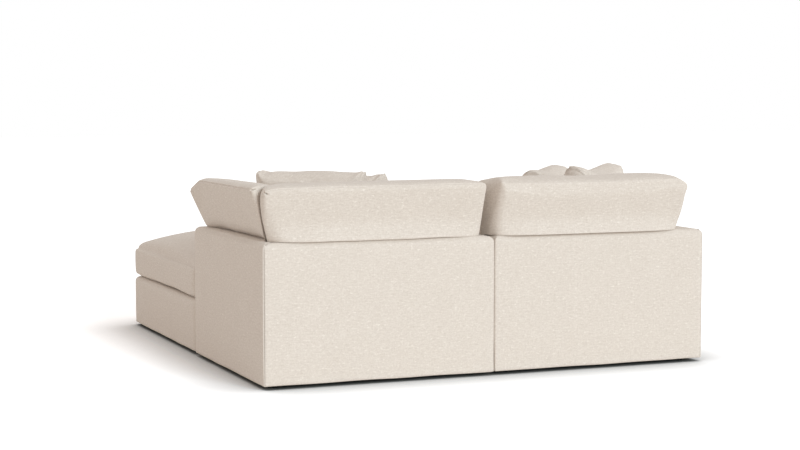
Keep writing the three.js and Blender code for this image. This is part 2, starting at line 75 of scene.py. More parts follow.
# Camera, at the photograph's place and angle

shot = {
    "lens": 76.37, "sensor": 36.0, "farthest": 200,
    "place": (2.907, 6.047, 1.102), "yaw": 22.46, "pitch": 4.28,
}


def makeCamera():
    camera = bpy.data.objects.new("camera", bpy.data.cameras.new("camera"))
    camera.data.lens = shot["lens"]
    camera.data.sensor_width = shot["sensor"]
    camera.data.clip_end = shot["farthest"]
    camera.location = Vector(shot["place"]) + Vector(joint)
    camera.rotation_euler = (math.radians(90 - shot["pitch"]), 0, math.radians(180 - shot["yaw"]))
    scene.collection.objects.link(camera)
    scene.camera = camera


makeCamera()
print("camera placed")


# Nodes of a material

def put(tree, kind, inputs=None, **settings):
    made = tree.nodes.new(kind)
    for name, value in settings.items():
        setattr(made, name, value)
    for key, value in (inputs or {}).items():
        if isinstance(value, bpy.types.NodeSocket):
            tree.links.new(value, made.inputs[key])
        else:
            made.inputs[key].default_value = value
    return made


def sums(tree, operation, first, second=0.5, third=0.5):
    return put(tree, "ShaderNodeMath", {0: first, 1: second, 2: third}, operation=operation).outputs[0]


def mixed(tree, share, first, second):
    blend = put(tree, "ShaderNodeMix", {0: share, 6: first, 7: second}, data_type="RGBA")
    return blend.outputs[2]


def grain(tree, place, scale, detail, rough):
    inputs = {"Vector": place, "Scale": scale, "Detail": detail, "Roughness": rough}
    return put(tree, "ShaderNodeTexNoise", inputs).outputs[0]


def ranged(tree, value, start, end, low=0.0, high=1.0):
    return put(tree, "ShaderNodeMapRange", {0: value, 1: start, 2: end, 3: low, 4: high}).outputs[0]


def stretched(tree, place, scale):
    return put(tree, "ShaderNodeVectorMath", {0: place, 1: scale}, operation="MULTIPLY").outputs[0]


sheenRoughness = 0.6


def newFinish(name, roughness, metal=0.0, sheen=0.0):
    material = bpy.data.materials.new(name)
    material.use_nodes = True
    tree = material.node_tree
    shader = tree.nodes["Principled BSDF"]
    shader.inputs["Roughness"].default_value = roughness
    shader.inputs["Metallic"].default_value = metal
    shader.inputs["Sheen Weight"].default_value = sheen
    shader.inputs["Sheen Roughness"].default_value = sheenRoughness
    place = put(tree, "ShaderNodeTexCoord").outputs["Object"]
    return material, tree, shader, place


def dress(tree, shader, colour, height, strength, distance):
    bump = put(tree, "ShaderNodeBump", {"Height": height, "Strength": strength, "Distance": distance})
    tree.links.new(colour, shader.inputs["Base Color"])
    tree.links.new(bump.outputs[0], shader.inputs["Normal"])


# Linen: heathered plain weave with slubs along the weft

linen = {
    "dark": (0.520, 0.447, 0.386, 1),
    "light": (0.940, 0.885, 0.828, 1),
    "roughness": 0.92,
    "sheen": 0.12,
    "slubLength": 0.024,
    "slubHeight": 0.0060,
    "slubScale": (1.7, 0.8),  # of the noise for thick yarns, against that for the others
    "slubRange": (0.58, 0.72, -0.02, 0.22),  # where a thick yarn starts and is full, and its tint at both
    "slubGrain": (2, 0.5),  # detail and roughness of the noise, here and below
    "yarn": 0.0016,
    "yarnGrain": (4, 0.65),
    "fleckSize": 0.007,
    "fleckGrain": (2, 0.7),
    "cloudSize": 0.09,
    "cloudGrain": (3, 0.6),
    "weft": 0.52,  # the four shares of the tint
    "warp": 0.26,
    "fleck": 0.44,
    "cloud": 0.10,
    "weaveTint": 0.06,
    "weaveHeight": 0.25,
    "bump": 0.35,
    "bumpDepth": 0.0012,
    "middle": 0.5,  # between dark and light
    "cushionContrast": 1.1,
    "pillowContrast": 1.2,
    "sideBlend": 6.0,  # the higher, the narrower the blend of the weaves at a turn
    "wornRange": (0.5, 0.6, 0.0, 0.12),  # from the flat to an edge, and how much lighter
}


def threadGroup():
    group = bpy.data.node_groups.new("linen threads", "ShaderNodeTree")
    group.interface.new_socket("Across", in_out="INPUT", socket_type="NodeSocketFloat")
    group.interface.new_socket("Along", in_out="INPUT", socket_type="NodeSocketFloat")
    group.interface.new_socket("Tint", in_out="OUTPUT", socket_type="NodeSocketFloat")
    group.interface.new_socket("Height", in_out="OUTPUT", socket_type="NodeSocketFloat")
    start = group.nodes.new("NodeGroupInput")
    end = group.nodes.new("NodeGroupOutput")
    place = put(group, "ShaderNodeCombineXYZ", {0: start.outputs[0], 1: start.outputs[1]}).outputs[0]
    across, along = 1 / linen["slubLength"], 1 / linen["slubHeight"]
    weft = grain(group, stretched(group, place, (across, along, 1)), 1, *linen["yarnGrain"])
    warp = grain(group, stretched(group, place, (along, across, 1)), 1, *linen["yarnGrain"])
    fleck = grain(group, place, 1 / linen["fleckSize"], *linen["fleckGrain"])
    cloud = grain(group, place, 1 / linen["cloudSize"], *linen["cloudGrain"])
    slubAcross, slubAlong = linen["slubScale"]
    slubs = stretched(group, place, (across * slubAcross, along * slubAlong, 1))
    thick = grain(group, slubs, 1, *linen["slubGrain"])
    slub = ranged(group, thick, *linen["slubRange"])
    shares = []
    for name, socket in (("weft", weft), ("warp", warp), ("fleck", fleck), ("cloud", cloud)):
        shares.append(sums(group, "MULTIPLY_ADD", socket, linen[name], -linen[name] / 2))
    yarns = sums(group, "ADD", shares[0], shares[1])
    tint = sums(group, "ADD", sums(group, "ADD", yarns, shares[2]), sums(group, "ADD", shares[3], slub))
    turn = math.pi / linen["yarn"]
    wave = [sums(group, "SINE", sums(group, "MULTIPLY", socket, turn)) for socket in start.outputs[:2]]
    weave = sums(group, "MULTIPLY", *wave)
    group.links.new(sums(group, "MULTIPLY_ADD", weave, linen["weaveTint"], tint), end.inputs[0])
    group.links.new(sums(group, "MULTIPLY_ADD", weave, linen["weaveHeight"], yarns), end.inputs[1])
    return group


threads = threadGroup()


# The weave on the three planes of the object, blended by the way the surface faces
def linenFinish(name, contrast=1.0):
    material, tree, shader, place = newFinish(name, linen["roughness"], sheen=linen["sheen"])
    x, y, z = put(tree, "ShaderNodeSeparateXYZ", {0: place}).outputs
    normal = put(tree, "ShaderNodeTexCoord").outputs["Normal"]
    facing = put(tree, "ShaderNodeSeparateXYZ", {0: normal}).outputs
    weights = []
    for side in facing:
        weights.append(sums(tree, "POWER", sums(tree, "ABSOLUTE", side), linen["sideBlend"]))
    total = sums(tree, "ADD", sums(tree, "ADD", weights[0], weights[1]), weights[2])
    tint, rise = 0.0, 0.0
    for weight, across, along in ((weights[0], y, z), (weights[1], x, z), (weights[2], x, y)):
        woven = put(tree, "ShaderNodeGroup", node_tree=threads)
        tree.links.new(across, woven.inputs[0])
        tree.links.new(along, woven.inputs[1])
        share = sums(tree, "DIVIDE", weight, total)
        tint = sums(tree, "MULTIPLY_ADD", woven.outputs[0], share, tint)
        rise = sums(tree, "MULTIPLY_ADD", woven.outputs[1], share, rise)
    worn = put(tree, "ShaderNodeNewGeometry").outputs["Pointiness"]
    edge = ranged(tree, worn, *linen["wornRange"])
    share = sums(tree, "MULTIPLY_ADD", tint, contrast, sums(tree, "ADD", edge, linen["middle"]))
    colour = mixed(tree, share, linen["dark"], linen["light"])
    dress(tree, shader, colour, rise, linen["bump"], linen["bumpDepth"])
    return material


coverLinen = linenFinish("cover linen")
cushionLinen = linenFinish("cushion linen", linen["cushionContrast"])
pillowLinen = linenFinish("pillow linen", linen["pillowContrast"])
print("linen ready")


# Finishes inside and under the sofa. scale is how many specks fill a metre along x, y and z, and bump the
# strength of the relief and its depth in metres.

inner = {
    "timber": {
        "name": "planed pine", "dark": (0.50, 0.33, 0.17, 1), "light": (0.72, 0.54, 0.34, 1),
        "roughness": 0.7, "scale": (14, 14, 90), "detail": 4.0, "bump": (0.3, 0.0006),
    },
    "webbing": {
        "name": "woven strap", "dark": (0.045, 0.042, 0.038, 1), "light": (0.12, 0.115, 0.10, 1),
        "roughness": 0.85, "scale": (700, 700, 300), "detail": 1.0, "bump": (0.6, 0.0004),
    },
    "deck_felt": {
        "name": "needled felt", "dark": (0.42, 0.39, 0.35, 1), "light": (0.58, 0.55, 0.50, 1),
        "roughness": 0.95, "scale": (500, 500, 500), "detail": 4.0, "bump": (0.8, 0.0008), "sheen": 0.2,
    },
    "dust_cloth": {
        "name": "spunbonded cloth", "dark": (0.012, 0.012, 0.010, 1), "light": (0.035, 0.034, 0.028, 1),
        "roughness": 0.9, "scale": (900, 900, 900), "detail": 2.0, "bump": (0.5, 0.0002),
    },
    "foot_plastic": {
        "name": "moulded plastic", "dark": (0.010, 0.010, 0.009, 1), "light": (0.020, 0.019, 0.018, 1),
        "roughness": 0.5, "scale": (1500, 1500, 1500), "detail": 1.0, "bump": (0.3, 0.0001),
    },
    "hook_steel": {
        "name": "zinc plated steel", "dark": (0.36, 0.37, 0.39, 1), "light": (0.58, 0.60, 0.62, 1),
        "roughness": 0.4, "scale": (60, 60, 1400), "detail": 3.0, "bump": (0.2, 0.0001), "metal": 1.0,
    },
}
speck = {"rough": 0.6, "range": (0.3, 0.7)}


def plainFinish(facts):
    metal, sheen = facts.get("metal", 0.0), facts.get("sheen", 0.0)
    material, tree, shader, place = newFinish(facts["name"], facts["roughness"], metal, sheen)
    specks = grain(tree, stretched(tree, place, facts["scale"]), 1, facts["detail"], speck["rough"])
    colour = mixed(tree, ranged(tree, specks, *speck["range"]), facts["dark"], facts["light"])
    dress(tree, shader, colour, specks, *facts["bump"])
    return material


finishes = {slot: plainFinish(facts) for slot, facts in inner.items()}
slots = {row["node"]: row["material_slot"] for row in frame["record"]["subparts"]}
for name, obj in frame["nodes"].items():
    finish = finishes.get(slots[name], coverLinen)
    obj.data.materials.clear()
    obj.data.materials.append(finish)
print("inner finishes ready")


# Meshes. Points are in metres from the modules' joint, and newPiece takes them to the frame.

def newPiece(name, points, faces, finish, body, slot, *nodes):
    mesh = bpy.data.meshes.new(name)
    mesh.from_pydata((points + joint).tolist(), [], faces)
    mesh.materials.append(finish)
    mesh.polygons.foreach_set("use_smooth", [True] * len(mesh.polygons))
    mesh.update()
    piece = bpy.data.objects.new(name, mesh)
    scene.collection.objects.link(piece)
    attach(piece, body)
    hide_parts(*nodes)
    return piece


def pointsOf(piece):
    points = np.empty(len(piece.data.vertices) * 3)
    piece.data.vertices.foreach_get("co", points)
    return points.reshape(-1, 3) - joint


def setPoints(piece, points):
    piece.data.vertices.foreach_set("co", (points + joint).ravel())
    piece.data.update()


def normalsOf(piece):
    normals = np.empty(len(piece.data.vertices) * 3)
    piece.data.vertices.foreach_get("normal", normals)
    return normals.reshape(-1, 3)


# Bakes one modifier into the mesh
def applied(piece, kind, **settings):
    modifier = piece.modifiers.new("shape", kind)
    for name, value in settings.items():
        setattr(modifier, name, value)
    shown = piece.evaluated_get(bpy.context.evaluated_depsgraph_get())
    mesh = bpy.data.meshes.new_from_object(shown)
    piece.modifiers.clear()
    old = piece.data
    piece.data = mesh
    mesh.name = old.name
    bpy.data.meshes.remove(old)
    mesh.polygons.foreach_set("use_smooth", [True] * len(mesh.polygons))


weldDigits = 6


# Joins points that coincide, and leaves out the faces that this closes up
def welded(points, faces):
    keys = np.round(points, weldDigits)
    _, first, number = np.unique(keys, axis=0, return_index=True, return_inverse=True)
    number = number.ravel()
    kept = []
    for face in faces:
        ring = [int(number[i]) for i in face]
        ring = [v for i, v in enumerate(ring) if v != ring[i - 1]]
        if len(set(ring)) > 2:
            kept.append(ring)
    return points[first], kept


# How far points lie from a path of straight pieces
def distanceTo(points, path):
    nearest = np.full(len(points), np.inf)
    for start, end in zip(path[:-1], path[1:]):
        along = end - start
        share = np.clip(((points - start) @ along) / max(along @ along, tiny), 0, 1)
        nearest = np.minimum(nearest, np.linalg.norm(points - start - share[:, None] * along, axis=1))
    return nearest


# The seeds of the noise, each the first of its group. sway and drop come on top of a cover's own. step is
# how far a seed shifts the noise along x, y and z.
seeds = {
    "back": 10, "arm": 20, "base": 30, "ottoman": 40, "sway": 4, "drop": 9,
    "seat": 1, "loose": 5, "pillow": 50, "dustCloth": 0, "step": (3.7, 1.3, 5.1),
}


# Soft unevenness of stuffed cloth, as a height over the surface
def unevenness(points, size, seed):
    offset = Vector([seed * step for step in seeds["step"]])
    return np.array([noise.noise(Vector(p) / size + offset) for p in points])


# Covers of the walls and bases: padding under cloth, rolled over at the top, with a turned-in hem

cover = {
    "roll": 0.024,
    "baseRoll": 0.020,
    "cornerSteps": 5,
    "rollSteps": 7,
    "spacing": 0.013,
    "hemFold": 0.004,
    "hemTurn": 0.6,  # of the fold, where the outer side starts
    "hemDepth": 0.030,
    "puff": 0.0035,
    "uneven": 0.0014,
    "unevenSize": 0.16,
    "hemWave": 0.0030,
    "cloth": 0.003,
    "seamDepth": 0.0022,
    "seamWidth": 0.004,
    "sewnCorner": 0.006,  # radii of the upright corners
    "armCorners": (0.005, 0.020),  # on the seat's side and on the free side
    "seatCorners": (0.006, 0.006, 0.002, 0.002),
    "ottomanCorner": 0.034,
    "leastCorner": 0.0001,
    "ottomanInset": 0.004,
    "hemFade": 0.12,  # the height over which the hem's waves die out
    "hemWaveSize": 0.11,
    "hemDropSize": 0.2,
    "hemDrop": 0.7,  # of the wave
    "edgeUneven": 0.2,  # what an edge keeps of the unevenness
    "facing": 0.9,  # the least share of a normal that faces along an axis
    "facingDown": -0.5,
}
edgePower = 6  # how close to an edge the fullness stays


def stepsOver(length, spacing, least):
    return max(least, round(length / spacing))


# One level of a cover: an outline with four rounded corners
def ringAt(low, high, radii, inset, z, counts):
    corners = [
        (low[0], low[1], 1, 1, math.pi),
        (high[0], low[1], -1, 1, -math.pi / 2),
        (high[0], high[1], -1, -1, 0),
        (low[0], high[1], 1, -1, math.pi / 2),
    ]
    steps = cover["cornerSteps"]
    ring = []
    arcs = []
    for (x, y, inX, inY, start), radius in zip(corners, radii):
        radius = max(radius - inset, cover["leastCorner"])
        angles = start + np.linspace(0, math.pi / 2, steps + 1)
        middle = (x + inX * (radius + inset), y + inY * (radius + inset))
        arcs.append(middle + radius * np.stack([np.cos(angles), np.sin(angles)], axis=1))
    for i, arc in enumerate(arcs):
        following = arcs[(i + 1) % 4][0]
        run = np.linspace(arc[-1], following, counts[i % 2] + 1)[1:-1]
        ring.append(np.vstack([arc, run]))
    flat = np.vstack(ring)
    return np.column_stack([flat, np.full(len(flat), z)])


def coverSkin(low, high, radii, roll):
    width, depth = high[0] - low[0], high[1] - low[1]
    counts = [stepsOver(length, cover["spacing"], 3) for length in (width, depth)]
    fold, bottom, top = cover["hemFold"], low[2], high[2]
    levels = [(fold * 2, bottom + cover["hemDepth"]), (fold * 2, bottom + fold), (fold, bottom)]
    rows = stepsOver(top - bottom, cover["spacing"], 4)
    levels += [(0.0, z) for z in np.linspace(bottom + fold * cover["hemTurn"], top - roll, rows)]
    for step in range(1, cover["rollSteps"] + 1):
        turn = step / cover["rollSteps"] * math.pi / 2
        levels.append((roll - roll * math.cos(turn), top - roll + roll * math.sin(turn)))
    reach = min(width, depth) / 2
    for inset in np.linspace(roll, reach, stepsOver(reach - roll, cover["spacing"], 3))[1:]:
        levels.append((inset, top))
    rings = [ringAt(low, high, radii, inset, z, counts) for inset, z in levels]
    size = len(rings[0])
    points = np.vstack(rings)
    faces = []
    for level in range(len(rings) - 1):
        for i in range(size):
            after = (i + 1) % size
            a, b = level * size, (level + 1) * size
            faces.append((a + i, a + after, b + after, b + i))
    return welded(points, faces)


# Gives a cover its fullness between the edges, its wavy hem and its uneven padding
def padOut(piece, low, high, seed):
    points, normals = pointsOf(piece), normalsOf(piece)
    middle, half = (low + high) / 2, (high - low) / 2
    share = np.clip(np.abs(points - middle) / half, 0, 1)
    full = np.ones(len(points))
    for axis in range(3):
        inside = np.abs(normals[:, axis]) < cover["facing"]
        full *= np.where(inside, np.clip(1 - share[:, axis] ** edgePower, 0, 1), 1)
    hem = np.clip((points[:, 2] - low[2]) / cover["hemFade"], 0, 1)
    bumps = unevenness(points, cover["unevenSize"], seed) * cover["uneven"]
    turnedIn = normals[:, 2] < cover["facingDown"]
    padding = cover["puff"] * full * hem + bumps * np.clip(full + cover["edgeUneven"], 0, 1)
    lift = np.where(turnedIn, 0, padding)
    level = (1, 1, 0)
    sway = unevenness(points * level, cover["hemWaveSize"], seed + seeds["sway"])
    sway = sway * cover["hemWave"] * (1 - hem) ** 2
    points = points + normals * lift[:, None] + normals * level * sway[:, None]
    drop = unevenness(points * level, cover["hemDropSize"], seed + seeds["drop"])
    points[:, 2] += drop * cover["hemWave"] * cover["hemDrop"] * (1 - hem) ** 2
    setPoints(piece, points)


# Cuts a cover along the mitre of the back and the arm
def mitre(piece, corner, direction):
    edit = bmesh.new()
    edit.from_mesh(piece.data)
    place = Vector(corner + joint)
    parts = edit.verts[:] + edit.edges[:] + edit.faces[:]
    bmesh.ops.bisect_plane(edit, geom=parts, plane_co=place, plane_no=direction, clear_outer=True)
    edit.to_mesh(piece.data)
    edit.free()


# Splits the edges near a path twice, so that a thin seam fits into the surface
def refine(piece, path, reach):
    edit = bmesh.new()
    edit.from_mesh(piece.data)
    for _ in range(2):
        points = np.array([vertex.co for vertex in edit.verts]) - joint
        near = distanceTo(points, path) < reach
        edges = [edge for edge in edit.edges if near[edge.verts[0].index] and near[edge.verts[1].index]]
        bmesh.ops.subdivide_edges(edit, edges=edges, cuts=1, use_grid_fill=True)
        edit.verts.index_update()
    edit.to_mesh(piece.data)
    edit.free()
    piece.data.polygons.foreach_set("use_smooth", [True] * len(piece.data.polygons))


seamRim = {"height": 0.35, "place": 2.2}  # shares of a seam's depth and width


# Presses a seam in along a path, between two slight rims
def pressSeam(piece, path, depth, width, rim=seamRim["height"]):
    points, normals = pointsOf(piece), normalsOf(piece)
    away = distanceTo(points, path)
    groove = -depth * np.exp(-(away / width) ** 2)
    rims = rim * depth * np.exp(-((away - seamRim["place"] * width) / width) ** 2)
    setPoints(piece, points + normals * (groove + rims)[:, None])


def makeWall(prefix, side, isArm, seed):
    node = prefix + ("_arm_cover" if isArm else "_back_cover")
    low, high = boxAt(node)
    radii = [cover["sewnCorner"]] * 4
    direction = Vector((side, -1, 0))
    if isArm:
        low[1], high[1] = frontY, 0
        radii[:2] = cover["armCorners"][::side]
        direction = -direction
    points, faces = coverSkin(low, high, radii, cover["roll"])
    piece = newPiece(node + "_cloth", points, faces, coverLinen, "modules", "cover_linen", node)
    corner = np.array([side * (outerX - fit), 0, 0])
    mitre(piece, corner, direction)
    padOut(piece, low, high, seed)
    inward = (-side * wallThickness, -wallThickness, wallTop)
    edge = np.array([corner + (0, 0, hemHeight), corner + (0, 0, wallTop), corner + inward])
    pressSeam(piece, edge, cover["seamDepth"], cover["seamWidth"])
    applied(piece, "SOLIDIFY", thickness=cover["cloth"], offset=-1.0)


def makeBase(prefix, radii, seed, inset=0.0):
    node = prefix + "_base_cover"
    low, high = boxAt(node)
    low, high = low + (inset, inset, 0), high - (inset, inset, 0)
    points, faces = coverSkin(low, high, radii, cover["baseRoll"])
    piece = newPiece(node + "_cloth", points, faces, coverLinen, "modules", "cover_linen", node)
    padOut(piece, low, high, seed)
    applied(piece, "SOLIDIFY", thickness=cover["cloth"], offset=-1.0)


for number, (prefix, side) in enumerate((("chaise_seat", 1), ("end_seat", -1))):
    makeWall(prefix, side, False, seeds["back"] + number)
    makeWall(prefix, side, True, seeds["arm"] + number)
    makeBase(prefix, cover["seatCorners"], seeds["base"] + number)
makeBase("ottoman", (cover["ottomanCorner"],) * 4, seeds["ottoman"], cover["ottomanInset"])
print("covers made")


# Cushions

stuffing = {"crownPower": 0.42, "rollLines": 5, "leastLines": 4}


# Fullness across a cushion: one in the middle, nothing at both ends
def crownShare(t, power=stuffing["crownPower"]):
    return np.maximum(1 - t * t, 0) ** power


# Lines over a size, as shares of its half: close together in the rolls, evenly spread between
def gridLines(half, roll, spacing):
    edge = np.linspace(-half, -half + roll, stuffing["rollLines"])
    count = stepsOver(2 * (half - roll), spacing, stuffing["leastLines"])
    middle = np.linspace(-half + roll, half - roll, count)
    return np.concatenate([edge, middle[1:-1], -edge[::-1]]) / half


# The skin over the six sides of a unit cube, as shares of the half sizes. Side -1 is for a mirrored form.
def cubeSkin(lines, side=1):
    shares, faces = [], []
    for axis in range(3):
        across, along = (axis + 1) % 3, (axis + 2) % 3
        u, v = np.meshgrid(lines[across], lines[along], indexing="ij")
        for end in (-1, 1):
            grid = np.empty((u.size, 3))
            grid[:, axis], grid[:, across], grid[:, along] = end, u.ravel(), v.ravel()
            start = sum(len(s) for s in shares)
            shares.append(grid)
            rows, columns = u.shape
            for i in range(rows - 1):
                for j in range(columns - 1):
                    a = start + i * columns + j
                    ring = (a, a + columns, a + columns + 1, a + 1)
                    faces.append(ring if end * side > 0 else ring[::-1])
    return welded(np.vstack(shares), faces)


# The skin for a boxed form
def formSkin(form, spacing, side=1):
    half = np.array(form["size"]) / 2
    return cubeSkin([gridLines(half[i], form["roll"][i], spacing) for i in range(3)], side)


# A stuffed box: its edges rolled, its sides, faces, top and bottom bulging, its edges drawn in between the
# corners, and its front and rear faces leaning
def boxedForm(shares, form):
    half = np.array(form["size"]) / 2
    roll = np.tile(form["roll"], (len(shares), 1))
    roll[:, 0] = np.where(shares[:, 0] < 0, form.get("nearRoll", form["roll"][0]), form["roll"][0])
    flat = shares * half
    held = np.clip(flat, roll - half, half - roll)
    pull = (flat - held) / roll
    reach = np.linalg.norm(pull, axis=1, keepdims=True)
    points = held + roll * pull / np.where(reach > tiny, reach, 1)
    a, b, c = shares.T
    side, face, top, bottom = form["bulge"]
    points[:, 0] += a * (side * crownShare(b) * crownShare(c) - form["drawIn"] * (1 - b * b) * np.abs(a))
    points[:, 1] += b * (face * crownShare(a) * crownShare(c) - form["drawIn"] * (1 - a * a) * np.abs(b))
    power = form.get("power", stuffing["crownPower"])
    points[:, 2] += c * np.where(c > 0, top, bottom) * crownShare(a, power) * crownShare(b, power)
    front, rear = form.get("lean", (0, 0))
    points[:, 1] += (points[:, 2] + half[2]) * (front * (1 - b) + rear * (1 + b)) / 2
    return points


simulation = {
    "frames": 20, "quality": 4, "pressure": 4.0, "stiffness": 8.0, "bending": 0.6, "shrink": -0.01,
}


# Fills a cushion with air under cloth, and keeps what its surface moved, up to the cap
def inflate(piece, cap, shrink):
    before = pointsOf(piece)
    modifier = piece.modifiers.new("fill", "CLOTH")
    cloth = modifier.settings
    cloth.quality = simulation["quality"]
    cloth.use_pressure = True
    cloth.uniform_pressure_force = simulation["pressure"]
    cloth.tension_stiffness = cloth.compression_stiffness = simulation["stiffness"]
    cloth.bending_stiffness = simulation["bending"]
    cloth.shrink_min = shrink
    cloth.effector_weights.gravity = 0
    modifier.collision_settings.use_collision = False
    modifier.point_cache.frame_start, modifier.point_cache.frame_end = 1, simulation["frames"]
    for step in range(1, simulation["frames"] + 1):
        scene.frame_set(step)
    shown = piece.evaluated_get(bpy.context.evaluated_depsgraph_get())
    after = np.empty(len(before) * 3)
    shown.data.vertices.foreach_get("co", after)
    piece.modifiers.clear()
    scene.frame_set(1)
    move = after.reshape(-1, 3) - joint - before
    length = np.linalg.norm(move, axis=1, keepdims=True)
    setPoints(piece, before + move * np.minimum(1, cap / np.maximum(length, tiny)))


# Fills and smooths a cushion, and returns its points with the unevenness of the stuffing and any folds
def stuffed(piece, facts, seed, folds=lambda points: 0):
    inflate(piece, facts["cap"], facts.get("shrink", simulation["shrink"]))
    applied(piece, "SUBSURF", levels=1)
    points, normals = pointsOf(piece), normalsOf(piece)
    bumps = unevenness(points, facts["unevenSize"], seed) * facts["uneven"] + folds(points)
    return points + normals * bumps[:, None]


# Pushes points out of a block with rounded edges
def pressedBy(points, low, high, radius, gap):
    low, high = np.array(low, float), np.array(high, float)
    core = (high - low) / 2 - radius
    local = points - (low + high) / 2
    near = np.clip(local, -core, core)
    away = local - near
    reach = np.linalg.norm(away, axis=1)
    inside = reach < tiny
    axis = np.argmin(core - np.abs(local), axis=1)
    rows = np.where(inside)[0]
    signs = np.sign(local[rows, axis[rows]])
    away[rows, axis[rows]] = signs
    near[rows, axis[rows]] = signs * core[axis[rows]]
    unit = away / np.linalg.norm(away, axis=1, keepdims=True)
    pressed = inside | (reach < radius + gap)
    target = near + unit * (radius + gap) + (low + high) / 2
    return np.where(pressed[:, None], target, points)


# A depth where it is over zero, easing off over softness, and nothing where it is under
def eased(depth, softness):
    return (depth + np.sqrt(depth * depth + 4 * softness * softness)) / 2


# Keeps points on the side of a plane that direction points to, easing off over softness
def keptBeyond(points, place, direction, softness):
    direction = np.array(direction, float) / np.linalg.norm(direction)
    depth = (points - place) @ direction
    return points + direction * (eased(depth, softness) - depth)[:, None]


# Turns points by an angle in the plane of two axes, from the first towards the second
def turned(points, first, second, angle):
    turn = math.radians(angle)
    moved = points.copy()
    moved[:, first] = points[:, first] * math.cos(turn) - points[:, second] * math.sin(turn)
    moved[:, second] = points[:, first] * math.sin(turn) + points[:, second] * math.cos(turn)
    return moved


# Seat cushions: boxed, with a crown that seams part from the boxing

seat = {
    "inset": 0.006, "boxing": 0.148, "crown": 0.101, "cornerRoll": 0.045, "seamRoll": 0.030, "fill": 0.012,
    "drawIn": 0.008, "power": 0.50, "ottomanInset": 0.000, "spacing": 0.022, "cap": 0.008,
    "uneven": 0.004, "unevenSize": 0.22, "seamDepth": 0.0024, "seamWidth": 0.0055, "seamSteps": 40,
}


def seatForm(low, high, inset):
    size = (high[0] - low[0] - 2 * inset, high[1] - low[1] - 2 * inset, seat["boxing"])
    return {
        "size": size, "roll": (seat["cornerRoll"], seat["cornerRoll"], seat["seamRoll"]),
        "bulge": (seat["fill"], seat["fill"], seat["crown"], 0),
        "drawIn": seat["drawIn"], "power": seat["power"],
    }


# Height of the top of the chaise module's seat cushion over a place
def seatTop(points):
    middle, half = (wellLow + wellHigh) / 2, (wellHigh - wellLow) / 2 - seat["inset"]
    share = np.clip((points[:, :2] - middle) / half, -1, 1)
    rise = crownShare(share[:, 0], seat["power"]) * crownShare(share[:, 1], seat["power"]) * seat["crown"]
    within = (np.abs(points[:, :2] - middle) < half).all(axis=1)
    return np.where(within, deckTop + fit + seat["boxing"] + rise, 0)


# The line around a form at one height
def squareLoop(form, height):
    t = np.linspace(-1, 1, seat["seamSteps"])
    ones = np.ones(len(t))
    sides = [(t, -ones), (ones, t), (-t, ones), (-ones, -t)]
    shares = np.vstack([np.column_stack([a, b, height * ones]) for a, b in sides])
    return boxedForm(shares, form)


def makeSeat(node, body, low, high, seed, inset):
    form = seatForm(low, high, inset)
    shares, faces = formSkin(form, seat["spacing"])
    centre = np.array([*(low + high) / 2, deckTop + fit + seat["boxing"] / 2])
    points = boxedForm(shares, form) + centre
    piece = newPiece(node + "_cloth", points, faces, cushionLinen, body, "cushion_linen", node)
    setPoints(piece, stuffed(piece, seat, seed))
    for height in (-1, 1):
        pressSeam(piece, squareLoop(form, height) + centre, seat["seamDepth"], seat["seamWidth"])
    points = pointsOf(piece)
    points[:, 2] = np.maximum(points[:, 2], deckTop + fit)
    setPoints(piece, points)


endLow, endHigh = np.array([-wellHigh[0], wellLow[1]]), np.array([-wellLow[0], wellHigh[1]])
ottomanLow, ottomanHigh = boxAt("ottoman_base_cover")
seatPlaces = (
    ("chaise_seat_cushion", "chaise_seat", wellLow, wellHigh, seat["inset"]),
    ("end_seat_cushion", "end_seat", endLow, endHigh, seat["inset"]),
    ("ottoman_cushion", "ottoman_top", ottomanLow[:2], ottomanHigh[:2], seat["ottomanInset"]),
)
for seed, (node, body, low, high, inset) in enumerate(seatPlaces, seeds["seat"]):
    makeSeat(node, body, low, high, seed, inset)
print("seat cushions made")


# Loose cushions: they stand on the seat, lap over the top of the wall behind them and lean outwards

loose = {
    "thickness": 0.131, "bottom": 0.415, "endFill": 0.006, "faceCrown": 0.013, "topCrown": 0.002,
    "roll": 0.026, "drawIn": 0.008, "lean": (0.08, 0.38), "middle": 0.1605, "spacing": 0.016,
    "steepness": 1.8, "foldEase": 0.007, "cap": 0.008, "uneven": 0.0035, "unevenSize": 0.16,
    "shoulderTop": 0.012, "bellyLevel": 0.010, "mitreShift": 0.039, "mitreEase": 0.005, "wallReach": 1.5,
    "seamShare": 0.97, "seamSteps": 40, "seamReach": 0.012,
    "seamDepth": 0.0030, "seamWidth": 0.0024, "seamRim": 0.35,
    "dartDepth": 0.010, "dartWidth": 0.0030, "dartRim": 0.05,
    "dart": ((1, 0.9, 1), (0.995, 1, 0.985), (0.982, 1, 0.94), (0.958, 1, 0.87)),  # shares of half sizes
}

